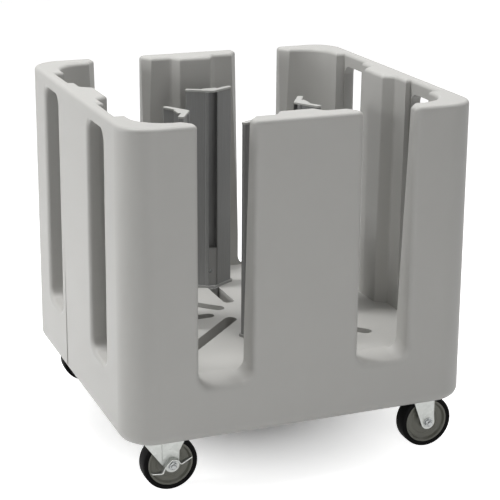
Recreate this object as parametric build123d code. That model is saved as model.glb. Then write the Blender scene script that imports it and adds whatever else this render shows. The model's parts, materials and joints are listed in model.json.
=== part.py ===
from build123d import *
import os
from math import asin, atan2, cos, hypot, radians, sin, tan

# Adjustable dish caddy: an open, rotationally moulded body on four casters. Four upright
# V-shaped towers slide in radial slots in the deck and divide it into four wells for
# stacks of plates. Sizes are in millimetres. +X is to the right, +Y to the back, +Z up,
# and the origin is on the floor under the middle of the body.

# ---------------------------------------------------------------- driving dimensions
# Body
BODY_WIDTH = 730.0          # outside, along X, at the deck
BODY_DEPTH = 707.0          # outside, along Y, at the deck
RIM_Z = 735.0               # top of the walls
BOTTOM_Z = 113.0            # underside of the base
DECK_Z = 230.0              # floor that the plates stand on
OUTER_CORNER_R = 66.0       # upright corners, outside
INNER_CORNER_R = 62.0       # upright corners, inside
WALL = 51.0                 # front and back walls, and the corners
DRAFT_DEG = 0.35            # mould draft of the walls, inside and outside
RIM_R = 8.0                 # rounded edge along the rim
BASE_EDGE_R = 20.0          # rounded lower edge of the base

# Open-topped hand openings in the front and back walls
GAP_INNER_X = 112.0         # edge nearer the middle
GAP_OUTER_X = 221.0         # edge nearer the corner
GAP_EDGE_R = 11.0           # rounded outer edges of the opening and its sill
GAP_BOTTOM_R = 25.0         # lower corners
SILL_DROP = 10.0            # outer edge of the sill below the deck
SILL_RUN = 62.0             # length of the slope from the deck to that edge
FLARE_DEPTH = 25.0          # cut on each inner upright edge: its depth at the rim,
FLARE_LENGTH = 20.0         # its length along the wall there,
FLARE_DROP = 428.0          # and how far below the rim it runs out

# Closed slots in the side walls
SLOT_INNER_Y = 108.0
SLOT_OUTER_Y = 216.0
SLOT_SILL_RISE = 4.0        # above the deck
SLOT_TOP_DROP = 28.0        # below the rim
SLOT_TOP_R = 22.0
SLOT_BOTTOM_R = 26.0
SLOT_WALL = 31.0            # wall that the slots pass through
SLOT_EDGE_R = 8.0           # rounded outer edges

# Panels and ribs inside the walls
SIDE_PANEL_WALL = 43.0      # side wall between its two slots
SIDE_RIB_WALL = 67.0        # side wall at its middle rib
SIDE_RIB_FACE = 90.0        # width of the rib's face
SIDE_RIB_FOOT = 124.0       # width of the rib where it leaves the panel
END_RIB_WALL = 74.0         # front and back walls at their middle rib
END_RIB_FACE = 76.0
END_RIB_FOOT = 104.0
RIB_BLEND_R = 7.0

# Radial slots in the deck: four on the axes for the towers, four on the diagonals
TRACK_WIDTH = 25.0
TRACK_DEPTH = 42.0
TRACK_START_R = 61.0        # inner end, from the middle of the deck
TRACK_END_R = 226.0
DIAGONAL_WIDTH = 27.0
DIAGONAL_START_R = 39.0
DIAGONAL_END_R = 298.0

# Moulded seam on the side faces, which fades upwards into the draft
SEAM_Y = 78.0
SEAM_WIDTH = 8.0
SEAM_DEPTH = 1.2

# Towers
TOWER_TOP_Z = 682.0
# How far each tower stands inward from its outermost place
TOWER_SETBACK = {"back": 14.0, "left": 65.0, "front": 74.0, "right": 61.0}
WING_LENGTH = 62.0
WING_THICKNESS = 11.0
WING_ANGLE = 30.0           # degrees that each wing leans back from straight across
WING_TIP_R = 3.0
CHANNEL_WIDTH = 20.0
CHANNEL_FLOOR = 21.0        # channel floor, outward from the apex
LIP_WIDTH = 6.0             # raised lip along each side of the channel
LIP_HEIGHT = 2.5
SPINE_WIDTH = 31.0
SPINE_DEPTH = 28.0
CAP_THICKNESS = 4.0
CAP_OVERHANG = 0.8
FOOT_BLOCK_HEIGHT = 92.0    # above the deck
FOOT_PLATE_THICKNESS = 5.0
FOOT_PLATE_OVERHANG = 4.0
DECK_CLEARANCE = 0.3        # running gap under the foot plate
CHANNEL_CLEARANCE = 0.2
TONGUE_LENGTH = 52.0
TONGUE_DEPTH = 36.0
TONGUE_CLEARANCE = 0.4      # on each side of the tongue
TONGUE_CENTRE = 20.0        # outward from the apex
SCREW_R = 2.2
SCREW_HEAD_R = 4.0
SCREW_HEAD_HEIGHT = 2.0
SCREW_X = -5.0              # beside the middle of the channel
SCREW_HEIGHT = 38.0         # above the deck

# Wheels
WHEEL_R = 56.0
WHEEL_WIDTH = 32.0
HUB_R = 46.0
TYRE_SHOULDER = 3.0
BOSS_R = 14.0
HUB_RIM = 4.0               # radial thickness of the hub's rim
HUB_DISH = 7.0              # the disc lies this far in from the rim
HUB_CLEARANCE = 1.0         # gap between the hub's boss and each leg
WHEEL_INSET = 57.5          # wheel planes, in from the front and back faces
LEG_GAP = 3.2               # between the tyre and each leg
LEG_THICKNESS = 3.0
AXLE_R = 5.0
BUSH_R = 8.0
RUN_CLEARANCE = 0.05        # radial clearance of what turns
AXLE_HEAD_AF = 15.0
AXLE_HEAD_HEIGHT = 6.0
AXLE_END = 3.0              # axle thread beyond its nut
WASHER_R = 10.0
WASHER_THICKNESS = 1.6

# Caster plates and bolts
SWIVEL_INSET = 81.0         # swivel axes of the left pair, in from the left face
TRAIL = 17.0                # axle beside the swivel axis
RIGID_INSET = 78.0          # middle of the plates of the right pair, from the right face
RIGID_OFFSET = 8.0          # axle beside the middle of a rigid plate
PLATE_TOP_Z = 137.0
PLATE_LENGTH = 92.0
PLATE_WIDTH = 66.0
PLATE_THICKNESS = 3.0
PLATE_CORNER_R = 6.0
POCKET_CLEARANCE = 4.0
BOLT_SPACING_X = 74.0
BOLT_SPACING_Y = 45.0
BOLT_R = 4.0
BOLT_CLEARANCE = 0.5
BOLT_HEAD_AF = 13.0
BOLT_HEAD_HEIGHT = 5.0
BOLT_LENGTH = 20.0
INSERT_R = 6.5
INSERT_LENGTH = 22.0

# Swivel heads and fork legs
RACE_R = 26.0
RACE_HEIGHT = 4.0
CAGE_HEIGHT = 4.0
CAGE_INNER_R = 14.0
CROWN_R = 34.0
CROWN_THICKNESS = 3.5
KINGPIN_R = 6.0
KINGPIN_HEAD_R = 10.0
KINGPIN_HEAD_HEIGHT = 4.0
LEG_END_R = 15.0
SHOULDER_HEIGHT = 50.0      # widest part of a swivel leg, above the axle
SHOULDER_RISE = 4.0         # slope from its shoulders up to the crown
SHOULDER_FRONT = 28.0       # its reach past the axle, away from the swivel axis
SHOULDER_BACK = 55.0        # its reach on the other side
WAIST_HEIGHT = 28.0
WAIST_REACH = 16.0
RIGID_LEG_BACK = 36.0       # top of a rigid leg, on the side of the slanted edge
RIGID_SHOULDER_BACK = 34.0  # where that edge turns in towards the axle
RIGID_SHOULDER_HEIGHT = 50.0
RIGID_LEG_FRONT = 13.5
BEAD_R = 1.3                # pressed bead down the outside of a leg
BEAD_X = -20.0
BEAD_BOTTOM = 12.0          # above the axle

# Brake lever of a swivel caster: a bent strip around the axle nut, in the wheel's plane
LEVER_POINTS = [(-43.0, -10.0), (-22.0, -11.0), (-17.5, -1.0), (-3.0, 15.0),
                (10.0, 12.0), (14.5, 3.0), (39.0, 14.0)]
LEVER_THICKNESS = 2.4
LEVER_WIDTH = 12.0
LEVER_EYE_R = 15.0
LEVER_BEND_R = 4.0

os.makedirs("parts", exist_ok=True)

HALF_W = BODY_WIDTH / 2
HALF_D = BODY_DEPTH / 2
DRAFT_TAN = tan(radians(DRAFT_DEG))
WHEEL_Y = HALF_D - WHEEL_INSET
AXLE_Z = WHEEL_R
LEG_INNER = WHEEL_WIDTH / 2 + LEG_GAP
LEG_OUTER = LEG_INNER + LEG_THICKNESS
PLATE_BOTTOM_Z = PLATE_TOP_Z - PLATE_THICKNESS
WING_TAN = tan(radians(WING_ANGLE))
WING_COS = cos(radians(WING_ANGLE))
WING_SIN = sin(radians(WING_ANGLE))


def save(shape, name):
    """Write one named piece."""
    shape.label = name
    export_step(shape, f"parts/{name}.step")


def four_ways(sketch):
    """A sketch with its mirror copies across X and Y."""
    pair = sketch + mirror(sketch, about=Plane.YZ)
    return pair + mirror(pair, about=Plane.XZ)


def box_between(x, y, z):
    """A box from its lowest and highest values on each axis."""
    size = [high - low for low, high in (x, y, z)]
    middle = [(high + low) / 2 for low, high in (x, y, z)]
    return Pos(*middle) * Box(*size)


def upright(sketch, bottom_z, top_z):
    """A sketch in plan, raised between two heights."""
    return Pos(0, 0, bottom_z) * extrude(sketch, top_z - bottom_z)


# ---------------------------------------------------------------- body
def rib_plan(half_face, half_foot, face_at, foot_at):
    """Plan of a rib with sloping flanks that stands on the inside of the +Y wall."""
    return make_face(Polyline(
        (-half_foot, foot_at + 1), (-half_foot, foot_at), (-half_face, face_at),
        (half_face, face_at), (half_foot, foot_at), (half_foot, foot_at + 1), close=True))


def cavity_plan():
    """Plan of the inside at the deck, with its panels and ribs."""
    side_panel = HALF_W - SIDE_PANEL_WALL
    slot_face = HALF_W - SLOT_WALL
    end_panel = HALF_D - WALL
    plan = RectangleRounded(BODY_WIDTH - 2 * WALL, BODY_DEPTH - 2 * WALL, INNER_CORNER_R)
    plan += Rectangle(2 * side_panel, 2 * SLOT_INNER_Y)
    plan += four_ways(Pos(slot_face / 2, (SLOT_INNER_Y + SLOT_OUTER_Y) / 2) * Rectangle(
        slot_face, SLOT_OUTER_Y - SLOT_INNER_Y))
    side_rib = Rot(0, 0, -90) * rib_plan(
        SIDE_RIB_FACE / 2, SIDE_RIB_FOOT / 2, HALF_W - SIDE_RIB_WALL, side_panel)
    end_rib = rib_plan(END_RIB_FACE / 2, END_RIB_FOOT / 2, HALF_D - END_RIB_WALL, end_panel)
    plan -= side_rib + mirror(side_rib, about=Plane.YZ)
    plan -= end_rib + mirror(end_rib, about=Plane.XZ)
    ribs = [(side_panel, SIDE_RIB_FOOT / 2), (HALF_W - SIDE_RIB_WALL, SIDE_RIB_FACE / 2),
            (END_RIB_FOOT / 2, end_panel), (END_RIB_FACE / 2, HALF_D - END_RIB_WALL)]
    corners = [v for v in plan.vertices()
               if any(hypot(abs(v.X) - x, abs(v.Y) - y) < 0.01 for x, y in ribs)]
    return fillet(corners, RIB_BLEND_R)


def walled_body():
    """Base and walls as one closed ring, with the mould's draft inside and outside."""
    growth = (DECK_Z - BOTTOM_Z) * DRAFT_TAN
    foot = RectangleRounded(BODY_WIDTH + 2 * growth, BODY_DEPTH + 2 * growth,
                            OUTER_CORNER_R + growth)
    body = Pos(0, 0, BOTTOM_Z) * extrude(foot, RIM_Z - BOTTOM_Z, taper=DRAFT_DEG)
    body = fillet(body.faces().sort_by(Axis.Z)[0].outer_wire().edges(), BASE_EDGE_R)
    return body - Pos(0, 0, DECK_Z) * extrude(cavity_plan(), RIM_Z - DECK_Z, taper=-DRAFT_DEG)


def hand_opening():
    """A U-shaped prism that cuts one opening; its bottom slopes from the deck to the sill."""
    height = 2 * (RIM_Z - DECK_Z)
    profile = Rectangle(GAP_OUTER_X - GAP_INNER_X, height)
    profile = fillet(profile.vertices().group_by(Axis.Y)[0], GAP_BOTTOM_R)
    place = Plane(origin=((GAP_INNER_X + GAP_OUTER_X) / 2, -HALF_D - SILL_RUN,
                          DECK_Z - 2 * SILL_DROP + height / 2), x_dir=(1, 0, 0), z_dir=(0, -1, 0))
    slope = Vector(0, SILL_RUN, SILL_DROP)
    return extrude(place * profile, 3 * slope.length, dir=slope.normalized())


def flare(edge_x, inward):
    """Cut that leans back the inner upright edge at one end of an opening."""
    corner_y = HALF_D - WALL
    bottom_z = RIM_Z - FLARE_DROP
    edge = Vector(edge_x, corner_y + (bottom_z - DECK_Z) * DRAFT_TAN, bottom_z)
    on_end = Vector(edge_x, corner_y + FLARE_DEPTH, RIM_Z)
    on_wall = Vector(edge_x + inward * FLARE_LENGTH, corner_y, RIM_Z)
    reach = on_end - on_wall
    top = make_face(Polyline(on_end + reach, on_wall - reach,
                             (edge_x - inward * FLARE_LENGTH, corner_y - FLARE_DEPTH, RIM_Z),
                             close=True))
    return loft([top, Vertex(*edge)])


def side_slot():
    """One closed slot through a side wall."""
    sill_z = DECK_Z + SLOT_SILL_RISE
    top_z = RIM_Z - SLOT_TOP_DROP
    profile = Rectangle(SLOT_OUTER_Y - SLOT_INNER_Y, top_z - sill_z)
    profile = fillet(profile.vertices().group_by(Axis.Y)[-1], SLOT_TOP_R)
    profile = fillet(profile.vertices().group_by(Axis.Y)[0], SLOT_BOTTOM_R)
    middle = ((SLOT_INNER_Y + SLOT_OUTER_Y) / 2, (sill_z + top_z) / 2)
    place = Plane(origin=(HALF_W - 2 * SLOT_WALL, *middle), x_dir=(0, 1, 0), z_dir=(1, 0, 0))
    return extrude(place * profile, 3 * SLOT_WALL)


def deck_slot(start_r, end_r, width, turn):
    """One radial slot sunk in the deck."""
    plan = Rot(0, 0, turn) * Pos((start_r + end_r) / 2, 0) * SlotOverall(end_r - start_r, width)
    return upright(plan, DECK_Z - TRACK_DEPTH, DECK_Z + 1)


def caster_places():
    """Middle of each caster plate: name, x, y."""
    swivel_x = SWIVEL_INSET - HALF_W
    rigid_x = HALF_W - RIGID_INSET
    return [("front_left", swivel_x, -WHEEL_Y), ("rear_left", swivel_x, WHEEL_Y),
            ("front_right", rigid_x, -WHEEL_Y), ("rear_right", rigid_x, WHEEL_Y)]


def bolt_places():
    """Middle of each caster bolt, in plan."""
    return [(x + i * BOLT_SPACING_X / 2, y + j * BOLT_SPACING_Y / 2)
            for _, x, y in caster_places() for i in (-1, 1) for j in (-1, 1)]


def outline_edges(body, axis, near, low, high):
    """Edges of the openings in the outer faces square to an axis, between two limits."""
    face = (HALF_W, HALF_D)[axis]
    edges = []
    for edge in body.edges():
        box = edge.bounding_box()
        middle = tuple(edge.center())
        if (tuple(box.size)[axis] < near and abs(middle[axis]) > face - near
                and low - 1 < abs(middle[1 - axis]) < high + 1
                and box.min.Z < RIM_Z - RIM_R and middle[2] > DECK_Z - 2 * SILL_DROP):
            edges.append(edge)
    return edges


def body_shell():
    body = walled_body()
    for cut in (hand_opening(), flare(GAP_INNER_X, -1), flare(GAP_OUTER_X, 1)):
        pair = cut + mirror(cut, about=Plane.YZ)
        body -= pair + mirror(pair, about=Plane.XZ)
    body = fillet(outline_edges(body, 1, GAP_EDGE_R, GAP_INNER_X, GAP_OUTER_X), GAP_EDGE_R)
    rims = body.faces().filter_by(Plane.XY).group_by(Axis.Z)[-1]
    body = fillet([edge for rim in rims for edge in rim.outer_wire().edges()], RIM_R)
    slot = side_slot()
    slots = slot + mirror(slot, about=Plane.YZ)
    body -= slots + mirror(slots, about=Plane.XZ)
    body = fillet(outline_edges(body, 0, SLOT_EDGE_R, SLOT_INNER_Y, SLOT_OUTER_Y), SLOT_EDGE_R)
    for turn in range(0, 360, 90):
        body -= deck_slot(TRACK_START_R, TRACK_END_R, TRACK_WIDTH, turn)
        body -= deck_slot(DIAGONAL_START_R, DIAGONAL_END_R, DIAGONAL_WIDTH, turn + 45)
    for _, x, y in caster_places():
        pocket = Pos(x, y) * RectangleRounded(
            PLATE_LENGTH + 2 * POCKET_CLEARANCE, PLATE_WIDTH + 2 * POCKET_CLEARANCE,
            PLATE_CORNER_R + POCKET_CLEARANCE)
        body -= upright(pocket, BOTTOM_Z - 1, PLATE_TOP_Z)
    for x, y in bolt_places():
        body -= upright(Pos(x, y) * Circle(INSERT_R), PLATE_TOP_Z - 1, PLATE_TOP_Z + INSERT_LENGTH)
    for side in (-1, 1):
        face_x = side * (HALF_W - SEAM_DEPTH)
        body -= box_between(sorted((face_x, face_x + side * WALL)),
                            (SEAM_Y - SEAM_WIDTH / 2, SEAM_Y + SEAM_WIDTH / 2), (0, RIM_Z))
    return body


def threaded_inserts():
    """Inserts moulded into the base, which the caster bolts screw into."""
    plan = Circle(INSERT_R) - Circle(BOLT_R)
    return Compound([upright(Pos(x, y) * plan, PLATE_TOP_Z, PLATE_TOP_Z + INSERT_LENGTH)
                     for x, y in bolt_places()])


def hexagon(across_flats):
    return RegularPolygon(across_flats / 2, 6, major_radius=False)


def caster_bolts():
    """Hexagon bolts that hold the four caster plates, four to a plate."""
    bolts = []
    for x, y in bolt_places():
        head = upright(Pos(x, y) * hexagon(BOLT_HEAD_AF), PLATE_BOTTOM_Z - BOLT_HEAD_HEIGHT,
                       PLATE_BOTTOM_Z)
        shank = upright(Pos(x, y) * Circle(BOLT_R), PLATE_BOTTOM_Z, PLATE_BOTTOM_Z + BOLT_LENGTH)
        bolts.append(head + shank)
    return Compound(bolts)


# ---------------------------------------------------------------- towers
# A tower is drawn with its apex line on the origin, its wings across X and leaning
# outward along +Y. It is then moved out from the middle of the deck and turned.
def wing_face_y(x, offset=0.0):
    """Outward distance of a wing's face at x, set back from the apex faces by an offset."""
    return x * WING_TAN + offset / WING_COS


def v_outline():
    """Right half of the tower's outline without its channel: wing and spine."""
    tip = (WING_LENGTH * WING_COS, WING_LENGTH * WING_SIN)
    tip_back = (tip[0] - WING_THICKNESS * WING_SIN, tip[1] + WING_THICKNESS * WING_COS)
    half_spine = SPINE_WIDTH / 2
    return [(0, 0), tip, tip_back, (half_spine, wing_face_y(half_spine, WING_THICKNESS)),
            (half_spine, SPINE_DEPTH), (0, SPINE_DEPTH)]


def v_plan():
    half = make_face(Polyline(*v_outline(), close=True))
    plan = half + mirror(half, about=Plane.YZ)
    tips = plan.vertices().filter_by(lambda v: abs(v.X) > WING_LENGTH / 2)
    return fillet(tips, WING_TIP_R)


def column_plan():
    lip_start = CHANNEL_WIDTH / 2
    lip_end = lip_start + LIP_WIDTH
    lip = make_face(Polyline(
        (lip_start, wing_face_y(lip_start, 1)), (lip_start, wing_face_y(lip_start, -LIP_HEIGHT)),
        (lip_end, wing_face_y(lip_end, -LIP_HEIGHT)), (lip_end, wing_face_y(lip_end, 1)),
        close=True))
    channel = Pos(0, CHANNEL_FLOOR / 2) * Rectangle(CHANNEL_WIDTH, CHANNEL_FLOOR)
    return v_plan() + lip + mirror(lip, about=Plane.YZ) - channel


def screw_bore(radius, depth_from, depth_to):
    """A cylinder along the fixing screw's axis, between two distances from the apex."""
    place = Plane(origin=(SCREW_X, depth_from, DECK_Z + SCREW_HEIGHT), z_dir=(0, 1, 0))
    return extrude(place * Circle(radius), depth_to - depth_from)


FOOT_BOTTOM_Z = DECK_Z + DECK_CLEARANCE
FOOT_TOP_Z = FOOT_BOTTOM_Z + FOOT_PLATE_THICKNESS
BLOCK_FACE_Y = wing_face_y(CHANNEL_WIDTH / 2)


def tower_column():
    column = upright(column_plan(), FOOT_TOP_Z, TOWER_TOP_Z - CAP_THICKNESS)
    return column - screw_bore(SCREW_R, CHANNEL_FLOOR, SPINE_DEPTH + 1)


def tower_cap():
    return upright(offset(v_plan(), CAP_OVERHANG, kind=Kind.INTERSECTION),
                   TOWER_TOP_Z - CAP_THICKNESS, TOWER_TOP_Z)


def tower_foot():
    """Foot plate, the block that fills the foot of the channel, and the tongue below."""
    plate = offset(v_plan(), FOOT_PLATE_OVERHANG, kind=Kind.ARC)
    block_width = CHANNEL_WIDTH - 2 * CHANNEL_CLEARANCE
    block_end = CHANNEL_FLOOR - CHANNEL_CLEARANCE
    block = Pos(0, (BLOCK_FACE_Y + block_end) / 2) * Rectangle(block_width, block_end - BLOCK_FACE_Y)
    tongue = Pos(0, TONGUE_CENTRE) * Rot(0, 0, 90) * SlotOverall(
        TONGUE_LENGTH, TRACK_WIDTH - 2 * TONGUE_CLEARANCE)
    foot = upright(plate, FOOT_BOTTOM_Z, FOOT_TOP_Z)
    foot += upright(block, FOOT_BOTTOM_Z, DECK_Z + FOOT_BLOCK_HEIGHT)
    foot += upright(tongue, FOOT_BOTTOM_Z - TONGUE_DEPTH, FOOT_BOTTOM_Z)
    return foot - screw_bore(SCREW_R, 0, CHANNEL_FLOOR)


def tower_screw():
    """Screw that holds the foot block to the back of the channel."""
    head = screw_bore(SCREW_HEAD_R, BLOCK_FACE_Y - SCREW_HEAD_HEIGHT, BLOCK_FACE_Y)
    return head + screw_bore(SCREW_R, BLOCK_FACE_Y, SPINE_DEPTH)


def towers():
    """All towers, in place: pairs of name and solid."""
    pieces = [("column", tower_column()), ("cap", tower_cap()), ("foot", tower_foot()),
              ("screw", tower_screw())]
    outermost = TRACK_END_R - TONGUE_CENTRE - TONGUE_LENGTH / 2
    placed = []
    for turn, (side, setback) in enumerate(TOWER_SETBACK.items()):
        for name, piece in pieces:
            placed.append((f"tower_{side}_{name}", Rot(0, 0, 90 * turn) * Pos(0, outermost - setback, 0) * piece))
    return placed


# ---------------------------------------------------------------- casters
# A caster is drawn with its axle along Y through (0, 0, AXLE_Z) and its brake side at -Y.
def ring(outline):
    """A solid turned about the axle, from (radius, along the axle) points."""
    profile = make_face(Polyline(*[(r, a) for r, a in outline], close=True))
    turned = revolve(Plane(origin=(0, 0, AXLE_Z), x_dir=(1, 0, 0), z_dir=(0, 0, 1)) * profile,
                     axis=Axis((0, 0, AXLE_Z), (0, 1, 0)))
    return turned


def tyre():
    half = WHEEL_WIDTH / 2
    seat = half - 1
    return ring([(HUB_R, -seat), (HUB_R + 2, -half), (WHEEL_R - TYRE_SHOULDER, -half),
                 (WHEEL_R - 1, -half + TYRE_SHOULDER), (WHEEL_R, 0),
                 (WHEEL_R - 1, half - TYRE_SHOULDER), (WHEEL_R - TYRE_SHOULDER, half),
                 (HUB_R + 2, half), (HUB_R, seat)])


def wheel_hub():
    """Hub with a dished disc on each side between its rim and its boss."""
    rim_side = WHEEL_WIDTH / 2 - 1
    boss_side = LEG_INNER - HUB_CLEARANCE
    dish = rim_side - HUB_DISH
    rim_r = HUB_R - HUB_RIM
    bore = BUSH_R + RUN_CLEARANCE
    side = [(bore, boss_side), (BOSS_R, boss_side), (BOSS_R + 4, dish), (rim_r - 2, dish),
            (rim_r, rim_side), (HUB_R, rim_side)]
    return ring(side + [(r, -a) for r, a in reversed(side)])


def along_axle(sketch, start, end):
    """A sketch in the wheel's plane, drawn out along the axle."""
    place = Plane(origin=(0, start, AXLE_Z), x_dir=(1, 0, 0), z_dir=(0, -1, 0))
    return extrude(place * sketch, start - end)


def bush():
    return along_axle(Circle(BUSH_R) - Circle(AXLE_R), LEG_INNER, -LEG_INNER)


def axle_bolt(outer):
    """Axle bolt: head behind the back leg, thread past the nut on the brake side."""
    head = along_axle(hexagon(AXLE_HEAD_AF), LEG_OUTER + AXLE_HEAD_HEIGHT, LEG_OUTER)
    nut_end = outer + WASHER_THICKNESS + AXLE_HEAD_HEIGHT
    return head + along_axle(Circle(AXLE_R), LEG_OUTER, -nut_end - AXLE_END)


def axle_nut(outer):
    """Nut with its washer, seated at a distance from the wheel's plane."""
    washer = along_axle(Circle(WASHER_R) - Circle(AXLE_R), -outer, -outer - WASHER_THICKNESS)
    nut = along_axle(hexagon(AXLE_HEAD_AF) - Circle(AXLE_R), -outer - WASHER_THICKNESS,
                     -outer - WASHER_THICKNESS - AXLE_HEAD_HEIGHT)
    return washer + nut


def tangent_point(point, radius, side):
    """Where the line from a point touches the circle round the axle, on one side of it."""
    x, z = point
    turn = atan2(z, x) + side * (radians(90) - asin(radius / hypot(x, z)))
    return (radius * cos(turn), radius * sin(turn))


def leg_pair(outline):
    """Both legs of a fork, from the outline of one above the axle's middle."""
    back = tangent_point(outline[0], LEG_END_R, 1)
    front = tangent_point(outline[-1], LEG_END_R, -1)
    profile = make_face(Polyline(*outline, front, (0, 0), back, close=True))
    profile += Circle(LEG_END_R)
    profile -= Circle(AXLE_R)
    return along_axle(profile, LEG_OUTER, LEG_INNER) + along_axle(profile, -LEG_INNER, -LEG_OUTER)


def bead(x, top_z):
    """Pressed bead down the outside of the leg on the brake side."""
    return Pos(x, -LEG_OUTER, 0) * upright(Circle(BEAD_R), AXLE_Z + BEAD_BOTTOM, top_z)


def plate_plan(x):
    """Caster plate in plan with its four bolt holes, its middle at x."""
    plan = RectangleRounded(PLATE_LENGTH, PLATE_WIDTH, PLATE_CORNER_R)
    for i in (-1, 1):
        for j in (-1, 1):
            plan -= Pos(i * BOLT_SPACING_X / 2, j * BOLT_SPACING_Y / 2) * Circle(BOLT_R + BOLT_CLEARANCE)
    return Pos(x, 0) * plan


def rigid_fork():
    top = PLATE_BOTTOM_Z - AXLE_Z
    fork = leg_pair([(-RIGID_SHOULDER_BACK, RIGID_SHOULDER_HEIGHT), (-RIGID_LEG_BACK, top),
                     (RIGID_LEG_FRONT, top), (RIGID_LEG_FRONT, LEG_END_R)])
    fork += upright(plate_plan(-RIGID_OFFSET), PLATE_BOTTOM_Z, PLATE_TOP_Z)
    return fork


CAGE_BOTTOM_Z = PLATE_BOTTOM_Z - RACE_HEIGHT - CAGE_HEIGHT
CROWN_BOTTOM_Z = CAGE_BOTTOM_Z - CROWN_THICKNESS


def swivel_plate():
    """Top plate with the upper ball race pressed in its underside."""
    plate = upright(plate_plan(-TRAIL), PLATE_BOTTOM_Z, PLATE_TOP_Z)
    plate += upright(Pos(-TRAIL, 0) * Circle(RACE_R), PLATE_BOTTOM_Z - RACE_HEIGHT, PLATE_BOTTOM_Z)
    return plate - upright(Pos(-TRAIL, 0) * Circle(KINGPIN_R), CROWN_BOTTOM_Z, PLATE_TOP_Z + 1)


def ball_cage():
    plan = Circle(RACE_R) - Circle(CAGE_INNER_R)
    return upright(Pos(-TRAIL, 0) * plan, CAGE_BOTTOM_Z, CAGE_BOTTOM_Z + CAGE_HEIGHT)


def kingpin():
    head_z = CROWN_BOTTOM_Z - RUN_CLEARANCE
    pin = upright(Pos(-TRAIL, 0) * Circle(KINGPIN_R), head_z, PLATE_TOP_Z)
    return pin + upright(Pos(-TRAIL, 0) * Circle(KINGPIN_HEAD_R), head_z - KINGPIN_HEAD_HEIGHT, head_z)


def swivel_fork():
    """Crown and two legs, which widen to shoulders just below the body."""
    top = CROWN_BOTTOM_Z + CROWN_THICKNESS - AXLE_Z
    neck = SHOULDER_HEIGHT + SHOULDER_RISE
    half_neck = (CROWN_R ** 2 - LEG_OUTER ** 2) ** 0.5
    fork = leg_pair([
        (-SHOULDER_BACK, SHOULDER_HEIGHT), (-TRAIL - half_neck, neck), (-TRAIL - half_neck, top),
        (-TRAIL + half_neck, top), (-TRAIL + half_neck, neck), (SHOULDER_FRONT, SHOULDER_HEIGHT),
        (WAIST_REACH, WAIST_HEIGHT)])
    fork += upright(Pos(-TRAIL, 0) * Circle(CROWN_R), CROWN_BOTTOM_Z, CAGE_BOTTOM_Z)
    fork -= upright(Pos(-TRAIL, 0) * Circle(KINGPIN_R + RUN_CLEARANCE), 0, PLATE_TOP_Z)
    return fork + bead(BEAD_X, AXLE_Z + SHOULDER_HEIGHT)


def brake_lever():
    """Bent strip lever with an eye that turns on the axle, outside the leg."""
    strip = trace(FilletPolyline(*LEVER_POINTS, radius=LEVER_BEND_R), LEVER_THICKNESS)
    start = LEG_OUTER + RUN_CLEARANCE
    lever = along_axle(strip, -start, -start - LEVER_WIDTH)
    lever += along_axle(Circle(LEVER_EYE_R), -start, -start - LEVER_THICKNESS)
    return lever - along_axle(Circle(AXLE_R + RUN_CLEARANCE), 0, -start - LEVER_WIDTH)


def casters():
    """All casters, in place: pairs of name and solid. The brakes face outward."""
    lever_seat = LEG_OUTER + 2 * RUN_CLEARANCE + LEVER_THICKNESS
    wheel = [("tyre", tyre()), ("hub", wheel_hub()), ("bush", bush())]
    rigid = wheel + [("axle", axle_bolt(LEG_OUTER)), ("nut", axle_nut(LEG_OUTER)),
                     ("fork", rigid_fork())]
    swivel = wheel + [("axle", axle_bolt(lever_seat)), ("nut", axle_nut(lever_seat)),
                      ("fork", swivel_fork()), ("plate", swivel_plate()),
                      ("ball_cage", ball_cage()), ("kingpin", kingpin()),
                      ("brake_lever", brake_lever())]
    placed = []
    for place, x, y in caster_places():
        is_swivel = place.endswith("left")
        axle_x = x + (TRAIL if is_swivel else RIGID_OFFSET)
        for name, piece in (swivel if is_swivel else rigid):
            if y > 0:
                piece = mirror(piece, about=Plane.XZ)
            placed.append((f"{place}_{name}", Pos(axle_x, y, 0) * piece))
    return placed


save(body_shell(), "body_shell")
save(threaded_inserts(), "threaded_inserts")
save(caster_bolts(), "caster_bolts")
for node, solid in towers() + casters():
    save(solid, node)
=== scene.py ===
# %% [markdown]
# # An adjustable dish caddy
# The real object is an open box of double-walled, rotationally moulded polyethylene on four
# casters. Four dark V-shaped towers slide in slots in its deck. Everything with a real size comes
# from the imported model, which is loaded first and never moved. What this script adds is the look:
# the photograph's camera and lamps, the finish of each surface, and finer shapes for the
# small metal and plastic pieces.

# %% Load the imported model
import json
from math import cos, pi, radians, sin

import bpy
import numpy as np
from mathutils import Matrix, Vector


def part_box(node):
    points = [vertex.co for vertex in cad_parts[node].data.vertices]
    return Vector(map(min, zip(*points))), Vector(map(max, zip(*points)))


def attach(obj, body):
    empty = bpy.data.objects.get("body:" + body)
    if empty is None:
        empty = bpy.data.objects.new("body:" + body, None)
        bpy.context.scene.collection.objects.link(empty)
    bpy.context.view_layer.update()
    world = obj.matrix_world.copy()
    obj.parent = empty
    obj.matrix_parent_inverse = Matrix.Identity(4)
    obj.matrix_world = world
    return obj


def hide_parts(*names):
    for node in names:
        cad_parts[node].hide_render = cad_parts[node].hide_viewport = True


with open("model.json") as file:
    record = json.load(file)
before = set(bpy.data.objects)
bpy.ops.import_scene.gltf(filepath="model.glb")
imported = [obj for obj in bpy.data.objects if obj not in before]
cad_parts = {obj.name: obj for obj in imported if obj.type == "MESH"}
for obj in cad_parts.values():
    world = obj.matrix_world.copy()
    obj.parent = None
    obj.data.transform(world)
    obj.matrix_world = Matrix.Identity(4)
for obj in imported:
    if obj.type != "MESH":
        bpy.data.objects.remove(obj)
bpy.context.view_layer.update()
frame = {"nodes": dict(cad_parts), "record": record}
print("pieces in the packed model:", len(frame["nodes"]))

# %% [markdown]
# ## The camera
# A camera is a place, a direction and a focal length. These were fitted to the edges and corners
# of the body in the photograph, so a long lens stands well back and looks down at a slant. The
# focal length in pixels turns into Blender's millimetres through the width of the sensor.

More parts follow.
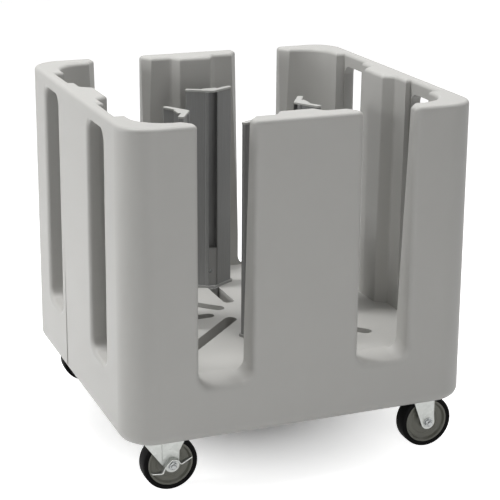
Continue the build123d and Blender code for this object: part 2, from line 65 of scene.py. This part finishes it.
# %% The photograph's camera
CAMERA_TARGET = Vector((0.0213, 0.0, 0.3671))
CAMERA_DISTANCE = 3.2344
CAMERA_YAW = radians(21.88)
CAMERA_PITCH = radians(17.8)
CAMERA_ROLL = radians(0.43)
FOCAL_PIXELS = 1512.7
FRAME_PIXELS = 500
SENSOR_WIDTH = 36.0


def make_camera():
    """Camera axes from yaw, pitch and roll: forward first, then level right, then up."""
    forward = Vector((sin(CAMERA_YAW) * cos(CAMERA_PITCH), cos(CAMERA_YAW) * cos(CAMERA_PITCH),
                      -sin(CAMERA_PITCH)))
    level_right = Vector((cos(CAMERA_YAW), -sin(CAMERA_YAW), 0))
    level_up = level_right.cross(forward)
    right = level_right * cos(CAMERA_ROLL) + level_up * sin(CAMERA_ROLL)
    up = right.cross(forward)
    data = bpy.data.cameras.new("camera")
    data.sensor_width = SENSOR_WIDTH
    data.lens = SENSOR_WIDTH * FOCAL_PIXELS / FRAME_PIXELS
    camera = bpy.data.objects.new("camera", data)
    camera.matrix_world = Matrix.Translation(CAMERA_TARGET - forward * CAMERA_DISTANCE) @ Matrix(
        (right, up, -forward)).transposed().to_4x4()
    bpy.context.scene.collection.objects.link(camera)
    bpy.context.scene.camera = camera
    return camera


camera = make_camera()
print("focal length in mm:", round(camera.data.lens, 1))

# %% [markdown]
# ## Studio light
# The photograph's shadows say where its lamps are. The rim and the deck are bright, with crisp
# shadows that run forward, so the strongest lamps are small and nearly overhead. A lower one at the
# left lights that side, and a broad weak one stands behind the camera. A lamp's place is given as a
# direction round the caddy, a height angle and a distance. The white ground is the colour of the
# world and the floor as the camera sees them, and isn't made with more light.

# %% Lamps and world
LIGHT_TARGET = Vector((0.0, 0.0, 0.35))
LAMPS = {           # degrees round the caddy, degrees up, distance, side of the square, watts
    "key": (155, 70, 2.6, 0.4, 33),
    "top": (0, 76, 2.4, 0.7, 23),
    "left": (169, 14, 2.4, 0.7, 20),
    "front": (268, 12, 3.2, 2.2, 29),
    "back right": (45, 45, 3.2, 1.6, 5),
}


def area_lamp(name, azimuth, elevation, distance, size, watts):
    """A square lamp that faces the object: its -Z axis points along target minus place."""
    turn, rise = radians(azimuth), radians(elevation)
    outward = Vector((cos(turn) * cos(rise), sin(turn) * cos(rise), sin(rise)))
    data = bpy.data.lights.new(name, "AREA")
    data.size = size
    data.energy = watts
    lamp = bpy.data.objects.new(name, data)
    lamp.location = LIGHT_TARGET + outward * distance
    lamp.rotation_mode = "QUATERNION"
    lamp.rotation_quaternion = (-outward).to_track_quat("-Z", "Y")
    bpy.context.scene.collection.objects.link(lamp)


for name, values in LAMPS.items():
    area_lamp(name, *values)


def white_ground(tree, shader, strength):
    """Adds white of a strength, a value or a socket, seen by the camera and in reflections only."""
    path = tree.nodes.new("ShaderNodeLightPath")
    seen = tree.nodes.new("ShaderNodeMath")
    seen.operation = "MAXIMUM"
    tree.links.new(path.outputs["Is Camera Ray"], seen.inputs[0])
    glossy = tree.nodes.new("ShaderNodeMath")
    glossy.operation = "MAXIMUM"
    tree.links.new(path.outputs["Is Glossy Ray"], glossy.inputs[0])
    tree.links.new(path.outputs["Is Transmission Ray"], glossy.inputs[1])
    tree.links.new(glossy.outputs[0], seen.inputs[1])
    glow = tree.nodes.new("ShaderNodeEmission")
    scaled = tree.nodes.new("ShaderNodeMath")
    scaled.operation = "MULTIPLY"
    if isinstance(strength, bpy.types.NodeSocket):
        tree.links.new(strength, scaled.inputs[1])
    else:
        scaled.inputs[1].default_value = strength
    tree.links.new(seen.outputs[0], scaled.inputs[0])
    tree.links.new(scaled.outputs[0], glow.inputs["Strength"])
    both = tree.nodes.new("ShaderNodeAddShader")
    tree.links.new(shader, both.inputs[0])
    tree.links.new(glow.outputs[0], both.inputs[1])
    return both.outputs[0]


AMBIENT = 0.01      # level of the world's light on the object
world = bpy.data.worlds.new("studio")
bpy.context.scene.world = world
world.use_nodes = True
background = world.node_tree.nodes["Background"]
background.inputs["Color"].default_value = (1, 1, 1, 1)
background.inputs["Strength"].default_value = AMBIENT
lit_world = white_ground(world.node_tree, background.outputs[0], 1 - AMBIENT)
world.node_tree.links.new(lit_world, world.node_tree.nodes["World Output"].inputs["Surface"])
bpy.context.scene.view_settings.view_transform = "Standard"

# %% The floor
FLOOR_HALF = 6.0
FLOOR_GREY = 0.80
FLOOR_GLOW_AND_PAINTED_SHADE = (0.10, 1.0)    # low under the object's middle as a painted shade over its real shadow, full beyond it
GLOW_REACH = (0.10, 0.42)   # the distances from the middle where those two hold


def make_floor():
    """One large square at floor level, white to the camera far out and fading towards the object's
    middle: a painted shade over its real shadow.
    """
    mesh = bpy.data.meshes.new("floor")
    corners = [(x * FLOOR_HALF, y * FLOOR_HALF, 0) for x, y in ((-1, -1), (1, -1), (1, 1), (-1, 1))]
    mesh.from_pydata(corners, [], [(0, 1, 2, 3)])
    floor = bpy.data.objects.new("floor", mesh)
    bpy.context.scene.collection.objects.link(floor)
    material = bpy.data.materials.new("floor paper")
    material.use_nodes = True
    shader = material.node_tree.nodes["Principled BSDF"]
    shader.inputs["Base Color"].default_value = (FLOOR_GREY, FLOOR_GREY, FLOOR_GREY, 1)
    shader.inputs["Roughness"].default_value = 0.9
    shader.inputs["Specular IOR Level"].default_value = 0.1
    place = material.node_tree.nodes.new("ShaderNodeTexCoord")
    distance = material.node_tree.nodes.new("ShaderNodeVectorMath")
    distance.operation = "LENGTH"
    material.node_tree.links.new(place.outputs["Object"], distance.inputs[0])
    # The glow fades with distance from the middle: a painted shade round the object.
    glow = material.node_tree.nodes.new("ShaderNodeMapRange")
    material.node_tree.links.new(distance.outputs["Value"], glow.inputs["Value"])
    for label, value in zip(("From Min", "From Max", "To Min", "To Max"), GLOW_REACH + FLOOR_GLOW_AND_PAINTED_SHADE):
        glow.inputs[label].default_value = value
    lit = white_ground(material.node_tree, shader.outputs[0], glow.outputs["Result"])
    output = material.node_tree.nodes["Material Output"]
    material.node_tree.links.new(lit, output.inputs["Surface"])
    mesh.materials.append(material)


make_floor()

# %% [markdown]
# ## Finishes as node groups
# Several materials share the same effects, so each effect is one node group with named inputs. All
# of them read Object coordinates in metres, so a size in a group is a real size: the fine pebble
# that the mould leaves, the slow waviness of a large moulded wall, and the dust and scuffs of use.

# %% A small kit for node trees
def new_group(name, inputs, outputs):
    """An empty shader group. Inputs are (name, socket type, value), outputs (name, socket type)."""
    group = bpy.data.node_groups.new(name, "ShaderNodeTree")
    for label, kind, value in inputs:
        socket = group.interface.new_socket(label, in_out="INPUT", socket_type=kind)
        socket.default_value = value
    for label, kind in outputs:
        group.interface.new_socket(label, in_out="OUTPUT", socket_type=kind)
    return group, group.nodes.new("NodeGroupInput"), group.nodes.new("NodeGroupOutput")


def feed(tree, target, value):
    """Sets an input to a plain value, or links it where the value is another node's socket."""
    if isinstance(value, bpy.types.NodeSocket):
        tree.links.new(value, target)
    else:
        target.default_value = value


def math_node(tree, operation, first, second=0.0):
    made = tree.nodes.new("ShaderNodeMath")
    made.operation = operation
    feed(tree, made.inputs[0], first)
    feed(tree, made.inputs[1], second)
    return made.outputs[0]


def noise(tree, size, stretch=(1, 1, 1), detail=2.0, roughness=0.5):
    """Noise whose features are about size metres across, longer along axes with a small stretch."""
    place = tree.nodes.new("ShaderNodeTexCoord")
    mapping = tree.nodes.new("ShaderNodeMapping")
    mapping.inputs["Scale"].default_value = stretch
    tree.links.new(place.outputs["Object"], mapping.inputs["Vector"])
    made = tree.nodes.new("ShaderNodeTexNoise")
    made.inputs["Detail"].default_value = detail
    made.inputs["Roughness"].default_value = roughness
    tree.links.new(mapping.outputs[0], made.inputs["Vector"])
    feed(tree, made.inputs["Scale"], math_node(tree, "DIVIDE", 1.0, size))
    return made.outputs["Fac"]


def ramp(tree, value, low, high):
    """0 below low, 1 above high, and straight between."""
    made = tree.nodes.new("ShaderNodeMapRange")
    feed(tree, made.inputs["Value"], value)
    made.inputs["From Min"].default_value = low
    made.inputs["From Max"].default_value = high
    return made.outputs["Result"]


def mix_colour(tree, share, first, second):
    made = tree.nodes.new("ShaderNodeMix")
    made.data_type = "RGBA"
    feed(tree, made.inputs["Factor"], share)
    feed(tree, made.inputs[6], first)
    feed(tree, made.inputs[7], second)
    return made.outputs[2]


# %% The mould's skin: a fine pebble on a slow waviness
def make_moulded_skin():
    """Height in metres: pebble depth times fine noise, plus wave depth times broad noise."""
    group, start, end = new_group("moulded skin", [
        ("Pebble Size", "NodeSocketFloat", 0.0016), ("Pebble Depth", "NodeSocketFloat", 0.00004),
        ("Wave Size", "NodeSocketFloat", 0.14), ("Wave Depth", "NodeSocketFloat", 0.0006),
    ], [("Height", "NodeSocketFloat")])
    pebble = math_node(group, "MULTIPLY", noise(group, start.outputs["Pebble Size"], detail=1.0),
                       start.outputs["Pebble Depth"])
    wave = math_node(group, "MULTIPLY", noise(group, start.outputs["Wave Size"], detail=0.0),
                     start.outputs["Wave Depth"])
    group.links.new(math_node(group, "ADD", pebble, wave), end.inputs["Height"])
    return group


# %% Dust and scuffs
def make_wear():
    """Colour and roughness that drift slowly, with dust on what faces up and fine scuffs."""
    group, start, end = new_group("wear", [
        ("Color", "NodeSocketColor", (0.5, 0.5, 0.5, 1)),
        ("Dust Color", "NodeSocketColor", (0.62, 0.61, 0.58, 1)),
        ("Dust", "NodeSocketFloat", 0.15), ("Drift", "NodeSocketFloat", 0.06),
        ("Roughness", "NodeSocketFloat", 0.5), ("Patch Size", "NodeSocketFloat", 0.09),
    ], [("Color", "NodeSocketColor"), ("Roughness", "NodeSocketFloat")])
    patches = noise(group, start.outputs["Patch Size"], detail=4.0, roughness=0.6)
    shade = math_node(group, "MULTIPLY", math_node(group, "SUBTRACT", patches, 0.5),
                      start.outputs["Drift"])
    tint = group.nodes.new("ShaderNodeHueSaturation")
    group.links.new(math_node(group, "ADD", 1.0, shade), tint.inputs["Value"])
    group.links.new(start.outputs["Color"], tint.inputs["Color"])
    geometry = group.nodes.new("ShaderNodeNewGeometry")
    split = group.nodes.new("ShaderNodeSeparateXYZ")
    group.links.new(geometry.outputs["Normal"], split.inputs[0])
    upward = ramp(group, split.outputs["Z"], 0.2, 1.0)
    dusty = math_node(group, "MULTIPLY", math_node(group, "MULTIPLY", upward, ramp(
        group, noise(group, 0.03, detail=5.0, roughness=0.65), 0.35, 0.7)), start.outputs["Dust"])
    group.links.new(mix_colour(group, dusty, tint.outputs[0], start.outputs["Dust Color"]),
                    end.inputs["Color"])
    rough = math_node(group, "ADD", start.outputs["Roughness"], math_node(
        group, "MULTIPLY", math_node(group, "SUBTRACT", patches, 0.5), 0.16))
    group.links.new(math_node(group, "ADD", rough, math_node(group, "MULTIPLY", dusty, 0.4)),
                    end.inputs["Roughness"])
    return group


# %% Fine lines that run one way, as on drawn plastic and rolled steel
def make_drawn_lines():
    """Height and shade of lines along Z: noise stretched so far that it becomes lines."""
    group, start, end = new_group("drawn lines", [
        ("Line Width", "NodeSocketFloat", 0.0012), ("Depth", "NodeSocketFloat", 0.00002),
    ], [("Height", "NodeSocketFloat"), ("Mask", "NodeSocketFloat")])
    lines = noise(group, start.outputs["Line Width"], stretch=(1, 1, 0.02), detail=3.0)
    group.links.new(math_node(group, "MULTIPLY", lines, start.outputs["Depth"]),
                    end.inputs["Height"])
    group.links.new(lines, end.inputs["Mask"])
    return group


# %% The mottled bloom of zinc plate
def make_zinc_bloom():
    """Roughness and shade that change from crystal to crystal, by the cells of a Voronoi."""
    group, start, end = new_group("zinc bloom", [
        ("Color", "NodeSocketColor", (0.7, 0.7, 0.7, 1)), ("Cell Size", "NodeSocketFloat", 0.006),
        ("Roughness", "NodeSocketFloat", 0.3),
    ], [("Color", "NodeSocketColor"), ("Roughness", "NodeSocketFloat")])
    place = group.nodes.new("ShaderNodeTexCoord")
    cells = group.nodes.new("ShaderNodeTexVoronoi")
    group.links.new(place.outputs["Object"], cells.inputs["Vector"])
    group.links.new(math_node(group, "DIVIDE", 1.0, start.outputs["Cell Size"]),
                    cells.inputs["Scale"])
    split = group.nodes.new("ShaderNodeSeparateColor")
    group.links.new(cells.outputs["Color"], split.inputs[0])
    tint = group.nodes.new("ShaderNodeHueSaturation")
    group.links.new(start.outputs["Color"], tint.inputs["Color"])
    group.links.new(math_node(group, "ADD", 0.93, math_node(
        group, "MULTIPLY", split.outputs[0], 0.14)), tint.inputs["Value"])
    group.links.new(tint.outputs[0], end.inputs["Color"])
    group.links.new(math_node(group, "ADD", start.outputs["Roughness"], math_node(
        group, "MULTIPLY", split.outputs[1], 0.12)), end.inputs["Roughness"])
    return group


GROUPS = {"skin": make_moulded_skin(), "wear": make_wear(), "lines": make_drawn_lines(),
          "zinc": make_zinc_bloom()}
print("node groups:", ", ".join(group.name for group in GROUPS.values()))

# %% [markdown]
# ## Materials
# Each finish of the caddy is one material that places those groups with its own values: thick
# matt polyethylene for the body, smooth dark plastic with drawn lines for the towers, and so on.

# %% One function builds them all
def place_group(tree, name, **values):
    made = tree.nodes.new("ShaderNodeGroup")
    made.node_tree = GROUPS[name]
    for label, value in values.items():
        feed(tree, made.inputs[label.replace("_", " ").title()], value)
    return made


def new_material(name, metallic=0.0, specular=0.5, coat=0.0):
    material = bpy.data.materials.new(name)
    material.use_nodes = True
    shader = material.node_tree.nodes["Principled BSDF"]
    shader.inputs["Metallic"].default_value = metallic
    shader.inputs["Specular IOR Level"].default_value = specular
    shader.inputs["Coat Weight"].default_value = coat
    return material, material.node_tree, shader


EDGE_ROUNDING = 0.0007      # how far the light rounds the sharp edges of the solids, in metres


def bump(tree, shader, height):
    """Feeds a height in metres to the shader's normal, over softly rounded edges."""
    soft = tree.nodes.new("ShaderNodeBevel")
    soft.samples = 4
    soft.inputs["Radius"].default_value = EDGE_ROUNDING
    made = tree.nodes.new("ShaderNodeBump")
    tree.links.new(soft.outputs[0], made.inputs["Normal"])
    made.inputs["Distance"].default_value = 1.0
    tree.links.new(height, made.inputs["Height"])
    tree.links.new(made.outputs[0], shader.inputs["Normal"])


def moulded_plastic(name, colour, roughness, dust=0.1, drift=0.06, specular=0.4, **skin):
    """Matt moulded plastic: the mould's skin under wear."""
    material, tree, shader = new_material(name, specular=specular)
    wear = place_group(tree, "wear", color=(*colour, 1), roughness=roughness, dust=dust,
                       drift=drift)
    tree.links.new(wear.outputs["Color"], shader.inputs["Base Color"])
    tree.links.new(wear.outputs["Roughness"], shader.inputs["Roughness"])
    bump(tree, shader, place_group(tree, "skin", **skin).outputs["Height"])
    return material


def drawn_plastic(name, colour, roughness):
    """Smooth drawn plastic with faint lines along its length."""
    material, tree, shader = new_material(name, specular=0.5)
    lines = place_group(tree, "lines")
    shaded = mix_colour(tree, ramp(tree, lines.outputs["Mask"], 0.35, 0.65), (*colour, 1),
                        (*[c * 1.12 for c in colour], 1))
    wear = place_group(tree, "wear", color=shaded, roughness=roughness, dust=0.2, drift=0.1)
    tree.links.new(wear.outputs["Color"], shader.inputs["Base Color"])
    tree.links.new(wear.outputs["Roughness"], shader.inputs["Roughness"])
    bump(tree, shader, lines.outputs["Height"])
    return material


def plated_steel(name, colour, roughness, cell_size=0.006):
    """Zinc-plated steel with its crystal bloom."""
    material, tree, shader = new_material(name, metallic=1.0)
    zinc = place_group(tree, "zinc", color=(*colour, 1), roughness=roughness, cell_size=cell_size)
    tree.links.new(zinc.outputs["Color"], shader.inputs["Base Color"])
    tree.links.new(zinc.outputs["Roughness"], shader.inputs["Roughness"])
    bump(tree, shader, place_group(tree, "skin", pebble_size=0.0008, pebble_depth=0.000008,
                                   wave_depth=0.0).outputs["Height"])
    return material


# %% The caddy's own finishes
MATERIALS = {
    "body": moulded_plastic("light grey polyethylene", (0.50, 0.495, 0.475), 0.46),
    "column": drawn_plastic("dark grey tower plastic", (0.24, 0.242, 0.240), 0.42),
    # The caps' grey, twice as light as the columns', is a painted highlight on the tower tops.
    "cap": moulded_plastic("cap plastic with painted top light", (0.48, 0.48, 0.46), 0.4, wave_depth=0.0),
    "foot": moulded_plastic("mid grey foot plastic", (0.34, 0.34, 0.335), 0.42, wave_depth=0.0),
    "hub": moulded_plastic("olive grey hub plastic", (0.15, 0.15, 0.125), 0.36, dust=0.3,
                           wave_depth=0.0),
    "tyre": moulded_plastic("black tyre rubber", (0.006, 0.006, 0.006), 0.65, dust=0.03,
                            specular=0.05, pebble_size=0.0006, wave_depth=0.0),
    "bush": moulded_plastic("natural nylon", (0.6, 0.59, 0.54), 0.4, wave_depth=0.0),
    "fork": plated_steel("zinc-plated pressing", (0.40, 0.41, 0.395), 0.36),
    "race": plated_steel("hardened race steel", (0.55, 0.55, 0.55), 0.2),
    "fastener": plated_steel("zinc-plated fastener", (0.34, 0.35, 0.35), 0.16, cell_size=0.003),
    "insert": plated_steel("turned brass", (0.62, 0.48, 0.22), 0.3),
}

for subpart in frame["record"]["subparts"]:
    node = frame["nodes"][subpart["node"]]
    node.data.materials.clear()
    node.data.materials.append(MATERIALS[subpart["material_slot"]])
print("materials:", len(MATERIALS))

# %% [markdown]
# ## Surfaces drawn with numpy
# A surface here is a grid of points: rows along one direction, columns along the other. Two kinds
# of grid are enough for the casters. A turned piece carries a profile round an axle, and a swept
# piece carries a section along a path. Profiles are corner points whose corners are then rounded,
# so each edge has the small radius that catches light.

# %% Grids and meshes
def rounded(points, radii, steps=5, closed=False):
    """Corner points with each corner replaced by an arc tangent to its two sides."""
    points = np.asarray(points, float)
    count = len(points)
    radii = np.broadcast_to(radii, count)
    path = []
    for i in range(count):
        if not closed and i in (0, count - 1) or radii[i] <= 0:
            path.append(points[i])
            continue
        before = points[i - 1] - points[i]
        after = points[(i + 1) % count] - points[i]
        reach_before, reach_after = np.linalg.norm(before), np.linalg.norm(after)
        before, after = before / reach_before, after / reach_after
        half = np.arccos(np.clip(before @ after, -1, 1)) / 2
        if half > 1.55:
            path.append(points[i])
            continue
        setback = min(radii[i] / np.tan(half), 0.48 * reach_before, 0.48 * reach_after)
        radius = setback * np.tan(half)
        inward = (before + after) / np.linalg.norm(before + after)
        middle = points[i] + inward * radius / np.sin(half)
        start, end = points[i] + before * setback - middle, points[i] + after * setback - middle
        for share in np.linspace(0, 1, steps):
            turn = start * (1 - share) + end * share
            path.append(middle + turn / np.linalg.norm(turn) * radius)
    return np.array(path)


def grid_mesh(name, grids, smooth_angle=35):
    """One mesh from grids of points, each given as (points, rows closed, columns closed)."""
    corners, faces = [], []
    for points, close_rows, close_columns in grids:
        rows, columns = points.shape[:2]
        index = np.arange(rows * columns).reshape(rows, columns) + len(corners)
        if close_rows:
            index = np.vstack([index, index[:1]])
        if close_columns:
            index = np.hstack([index, index[:, :1]])
        faces += np.stack([index[:-1, :-1], index[1:, :-1], index[1:, 1:], index[:-1, 1:]],
                          axis=-1).reshape(-1, 4).tolist()
        corners += points.reshape(-1, 3).tolist()
    mesh = bpy.data.meshes.new(name)
    mesh.from_pydata(corners, [], faces)
    mesh.validate()
    made = bpy.data.objects.new(name, mesh)
    bpy.context.scene.collection.objects.link(made)
    mesh.shade_smooth()
    mesh.set_sharp_from_angle(angle=radians(smooth_angle))
    return made


def turned(profile, centre, sides=72, phase=0.0):
    """Carries a profile of (radius, along) points round the Y axis through a centre."""
    angles = np.linspace(0, 2 * pi, sides, endpoint=False) + phase
    radius, along = np.asarray(profile, float).T
    across = np.broadcast_to(along, (sides, len(radius)))
    points = np.stack([np.outer(np.cos(angles), radius), across,
                       np.outer(np.sin(angles), radius)], axis=-1)
    return points + np.asarray(centre)


def add_piece(name, grids, slot, body, replaced=(), smooth_angle=35):
    """Makes a piece, gives it a finish, and lets it move with a body in place of its nodes."""
    made = grid_mesh(name, grids, smooth_angle)
    made.data.materials.append(MATERIALS[slot])
    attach(made, body)
    if replaced:
        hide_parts(*replaced)
    return made


# %% [markdown]
# ## Wheels, axles and brakes
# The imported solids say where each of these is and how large: a wheel's box gives its axle and its
# radius, and a nut's box gives its seat. The finer profiles hang on those values. A tyre has a
# rounded tread and a raised bead where it meets the hub, and a nut is a hexagon that a cone has
# chamfered into a circle.

# %% Profiles: radius from the axle, then distance along it, in millimetres
CASTERS = {"front_left": -1, "front_right": -1, "rear_left": 1, "rear_right": 1}
BORE_R, AXLE_R = 8.05, 5.0
TREAD_CROWN, SHOULDER_R = 0.6, 3.4


def metres(profile):
    return np.asarray(profile, float) / 1000


def mirrored_profile(half):
    """A profile given from one side to the middle plane, with its mirror image after it."""
    half = np.asarray(half, float)
    return np.vstack([half, half[::-1] * (1, -1)])


def tyre_profile(radius, half_width, seat_r):
    """Bead on the hub, flat wall with a moulded line, round shoulder, slightly crowned tread."""
    corners = [(seat_r, half_width - 1), (seat_r + 0.9, half_width), (seat_r + 2.0, half_width),
               (seat_r + 2.6, half_width - 0.5), (seat_r + 3.6, half_width - 0.5),
               (seat_r + 4.2, half_width - 0.1), (radius - TREAD_CROWN, half_width - 0.1),
               (radius, 0.3 * half_width)]
    return rounded(mirrored_profile(corners), [0, 0.5, 0.5, 0.3, 0.3, 0.5, SHOULDER_R, 12.0,
                                               12.0, SHOULDER_R, 0.5, 0.3, 0.3, 0.5, 0.5, 0])


def hub_profile(rim_r, rim_half, boss_half):
    """Boss, dished disc with a raised ring, sloping well and rounded rim, on both sides."""
    disc = rim_half - 7.2
    corners = [(BORE_R, boss_half), (13.4, boss_half), (14.6, disc + 1.6), (18.5, disc),
               (26.0, disc), (26.8, disc + 0.9), (29.2, disc + 0.9), (30.0, disc),
               (39.0, disc + 0.6), (42.2, rim_half), (rim_r, rim_half)]
    return rounded(mirrored_profile(corners),
                   [0, 0.8, 2.0, 2.5, 0.5, 0.4, 0.4, 0.5, 2.5, 1.0, 0.6,
                    0.6, 1.0, 2.5, 0.5, 0.4, 0.4, 0.5, 2.5, 2.0, 0.8, 0])


def hexagonal(profile, centre, phase=0.0, per_side=6):
    """As turned, from (radius, along, share): a ring is a circle at share 0, a hexagon at 1."""
    profile = np.asarray(profile, float)
    points = turned(profile[:, :2], (0, 0, 0), 6 * per_side, phase)
    angles = np.linspace(0, 2 * pi, 6 * per_side, endpoint=False)
    to_flat = 1 / np.cos((angles + pi / 6) % (pi / 3) - pi / 6)
    points[..., (0, 2)] *= (1 + np.outer(to_flat - 1, profile[:, 2]))[..., None]
    return points + np.asarray(centre)


# %% Tyres and hubs
def axle_of(place):
    """The middle of a caster's wheel, from the box of its tyre."""
    low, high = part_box(f"{place}_tyre")
    return (low + high) / 2, (high.z - low.z) / 2 * 1000, (high.y - low.y) / 2 * 1000


for place in CASTERS:
    centre, wheel_r, half_width = axle_of(place)
    hub_low, hub_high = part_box(f"{place}_hub")
    hub_r = (hub_high.z - hub_low.z) / 2 * 1000
    boss = (hub_high.y - hub_low.y) / 2 * 1000
    add_piece(f"{place}_tyre_surface",
              [(turned(metres(tyre_profile(wheel_r, half_width, hub_r)), centre, 96), True, True)],
              "tyre", f"{place}_wheel", [f"{place}_tyre"])
    add_piece(f"{place}_hub_surface",
              [(turned(metres(hub_profile(hub_r, half_width - 1, boss)), centre, 96), True, True)],
              "hub", f"{place}_wheel", [f"{place}_hub"])

# %% Nuts, washers and axle bolts
THREAD_PITCH, THREAD_LENGTH, THREAD_DEPTH = 1.5, 9.0, 0.6
FLAT_R = 7.5                # half the width across the flats, of nuts and bolt heads
HEAD_HEIGHT = 6.0
WASHER_R, WASHER_THICKNESS = 10.0, 1.6
NUT_TOP = 7.6               # the top of the nut's collar, from the seat of the washer


def along(profile, side, start):
    """Turns distances outward from a seat into places along Y, in metres."""
    profile = np.asarray(profile, float).copy()
    profile[:, 1] = side * (start + profile[:, 1])
    profile[:, :2] /= 1000
    return profile


def nut_grids(side, centre, seat):
    """Washer, then a chamfered nut with its round collar."""
    washer = rounded([(AXLE_R, 0), (WASHER_R, 0), (WASHER_R, WASHER_THICKNESS),
                      (AXLE_R, WASHER_THICKNESS)], 0.35, closed=True)
    nut = [(AXLE_R, WASHER_THICKNESS, 0), (7.0, WASHER_THICKNESS, 0), (FLAT_R, 1.9, 1),
           (FLAT_R, 5.6, 1), (7.1, 6.3, 0.35), (6.5, 6.5, 0), (6.3, 7.4, 0), (5.9, NUT_TOP, 0),
           (AXLE_R, NUT_TOP, 0)]
    return [(turned(along(washer, side, seat), centre, 48), True, True),
            (hexagonal(along(nut, side, seat), centre), True, False)]


def bolt_grids(side, centre, seat, tip):
    """Chamfered head, shank, and a thread drawn as close rings up to the rounded tip."""
    head = [(0, -HEAD_HEIGHT, 0), (6.4, -HEAD_HEIGHT, 0), (7.1, -5.6, 0.4), (FLAT_R, -5.1, 1),
            (FLAT_R, -0.3, 1), (7.1, 0, 0), (AXLE_R, 0, 0)]
    turns = np.arange(0, THREAD_LENGTH, THREAD_PITCH / 2)
    ridge = np.where(np.arange(len(turns)) % 2, AXLE_R - THREAD_DEPTH, AXLE_R - 0.05)
    thread = np.column_stack([ridge, tip - THREAD_LENGTH + turns])
    shank = np.vstack([[(AXLE_R, 0)], thread, [(AXLE_R - 1.0, tip), (0, tip)]])
    far_side = hexagonal(along(head, side, seat), centre)
    return [(far_side, True, False), (turned(along(shank, side, seat), centre, 36), True, False)]


for place, side in CASTERS.items():
    centre = axle_of(place)[0]
    nut_low, nut_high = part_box(f"{place}_nut")
    axle_low, axle_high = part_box(f"{place}_axle")
    faces = sorted(side * (y - centre.y) * 1000 for y in (nut_low.y, nut_high.y))
    ends = sorted(side * (y - centre.y) * 1000 for y in (axle_low.y, axle_high.y))
    body = f"{place}_swivel" if "left" in place else "cart_body"
    add_piece(f"{place}_nut_surface", nut_grids(side, centre, faces[0]), "fastener", body,
              [f"{place}_nut"], 30)
    add_piece(f"{place}_axle_surface", bolt_grids(side, centre, ends[0] + HEAD_HEIGHT,
                                                  ends[1] - ends[0] - HEAD_HEIGHT),
              "fastener", body, [f"{place}_axle"], 30)

# %% Brake levers
LEVER_PATH = [(-43.0, -10.0), (-22.0, -11.0), (-17.5, -1.0), (-3.0, 15.0), (10.0, 12.0),
              (14.5, 3.0), (39.0, 14.0)]
LEVER_THICKNESS, LEVER_WIDTH, LEVER_EYE_R = 2.4, 12.0, 15.0
LEVER_BEND_R, LEVER_EDGE_R = 4.0, 0.7
TIP_LENGTH, TIP_SHARE = 5.0, 0.55       # a tip narrows over this length to this share
EYE_CLEARANCE = 0.05


def swept_strip(path, thickness, width, start, side):
    """A strip swept along a path in the wheel's plane, with rounded long edges and tips."""
    path = rounded(path, LEVER_BEND_R, 8)
    steps = np.gradient(path, axis=0)
    steps /= np.linalg.norm(steps, axis=1)[:, None]
    normals = np.column_stack([-steps[:, 1], steps[:, 0]])
    section = rounded([(-0.5, 0), (0.5, 0), (0.5, 1), (-0.5, 1)], [0] * 4, closed=True)
    section = rounded(section * (thickness, width), LEVER_EDGE_R, 4, closed=True)
    distance = np.concatenate([[0], np.cumsum(np.linalg.norm(np.diff(path, axis=0), axis=1))])
    to_tip = np.minimum(distance, distance[-1] - distance)
    rows = []
    for point, normal, reach in zip(path, normals, to_tip):
        narrow = TIP_SHARE + (1 - TIP_SHARE) * np.sqrt(min(1.0, reach / TIP_LENGTH))
        across = (section[:, 1] - width / 2) * narrow + width / 2
        place = point + np.outer(section[:, 0], normal)
        rows.append(np.column_stack([place[:, 0], side * (start + across), place[:, 1]]))
    for end in (0, -1):
        cap = np.broadcast_to(rows[end].mean(axis=0), rows[end].shape)
        rows.insert(0, cap) if end == 0 else rows.append(cap)
    return np.array(rows)


for place, side in CASTERS.items():
    if "left" not in place:
        continue
    centre = axle_of(place)[0]
    low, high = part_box(f"{place}_brake_lever")
    start = min(side * (y - centre.y) * 1000 for y in (low.y, high.y))
    strip = swept_strip(LEVER_PATH, LEVER_THICKNESS, LEVER_WIDTH, start, side)
    bore = AXLE_R + EYE_CLEARANCE
    eye = rounded([(bore, 0), (LEVER_EYE_R, 0), (LEVER_EYE_R, LEVER_THICKNESS),
                   (bore, LEVER_THICKNESS)], 0.4, closed=True)
    add_piece(f"{place}_brake_surface",
              [(strip / 1000 + np.array(centre), False, True),
               (turned(along(eye, side, start), centre, 48), True, True)],
              "fork", f"{place}_brake", [f"{place}_brake_lever"], 40)
print("caster surfaces:", len(CASTERS))

# %% [markdown]
# ## Screws of the towers
# Each tower stands a quarter turn from the last, so its screw is drawn once for the back tower and
# turned about the middle of the deck.

# %% Tower screws: a domed head with a cross recess
TOWERS = {"back": 0.0, "left": 0.5 * pi, "front": pi, "right": 1.5 * pi}
SCREW_R, SCREW_RISE = 4.0, 2.0


def dome_with_cross(radius, height, centre, sides=48):
    """Domed head facing -Y whose middle is sunk along four arms."""
    angles = np.linspace(0, 2 * pi, sides, endpoint=False)
    arms = np.abs(np.cos(2 * angles)) ** 6
    radii = np.array([0, 0.12, 0.3, 0.45, 0.6, 0.75, 0.9, 0.98, 1.0, 1.0]) * radius
    rise = height * np.array([1.0, 0.99, 0.96, 0.92, 0.85, 0.72, 0.48, 0.25, 0.1, 0])
    sunk = np.clip(1 - radii / (0.66 * radius), 0, 1)
    depth = np.outer(0.25 + 0.75 * arms, np.minimum(1, 3 * sunk)) * 0.55 * height
    points = np.stack([np.outer(np.cos(angles), radii), depth - rise,
                       np.outer(np.sin(angles), radii)], axis=-1)
    return points / 1000 + np.array(centre)


for tower, turn in TOWERS.items():
    low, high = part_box(f"tower_{tower}_screw")
    back = Matrix.Rotation(-turn, 3, "Z")
    ends = np.array([back @ low, back @ high])
    middle = (ends.min(axis=0) + ends.max(axis=0)) / 2
    seat = (middle[0], ends[:, 1].min() + SCREW_RISE / 1000, middle[2])
    points = dome_with_cross(SCREW_R, SCREW_RISE, seat) @ np.array(back)
    add_piece(f"{tower}_tower_screw_surface", [(points, True, False)], "fastener",
              f"{tower}_tower", [f"tower_{tower}_screw"], 50)
